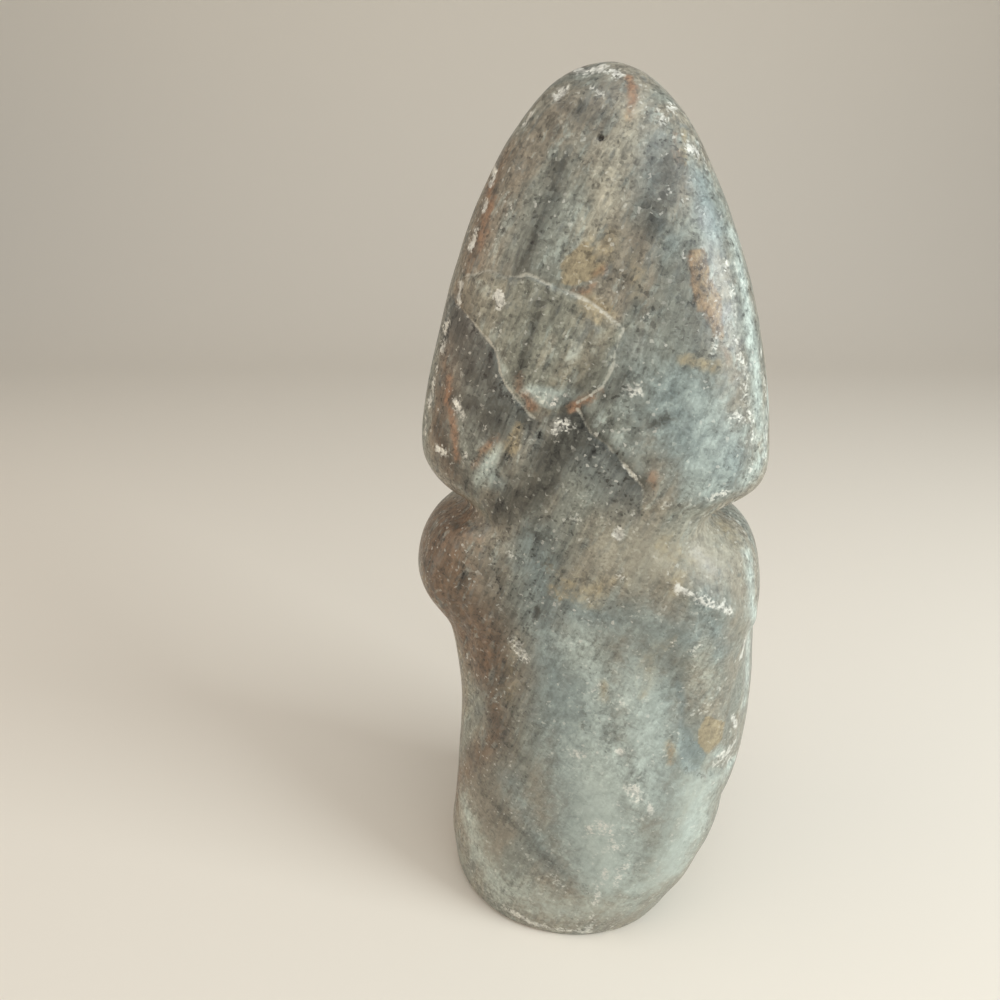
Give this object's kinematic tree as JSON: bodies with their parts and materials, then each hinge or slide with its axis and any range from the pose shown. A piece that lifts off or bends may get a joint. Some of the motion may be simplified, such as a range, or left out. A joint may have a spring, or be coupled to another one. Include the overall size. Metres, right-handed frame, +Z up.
{
  "type": "carved stone warrior figurine",
  "caption": "Small polished grey-green stone figurine of a standing warrior in a tall domed helmet, arms at the sides, carved from one stone on a flat foot.",
  "frame": {"origin": "Centre of the figure's plan box, on the flat underside that it stands on.", "axes": "+Z up along the figure, -Y the way the face looks, +X towards the figure's left hand."},
  "size_m": [0.0656, 0.0476, 0.16],
  "materials": {
    "stone": "polished crystalline stone, semi-gloss, mottled grey-green and blue-grey with rust-tan veins and white flecks"
  },
  "bodies": {
    "root": {"stone_warrior_figure": "stone"}
  },
  "joints": []
}
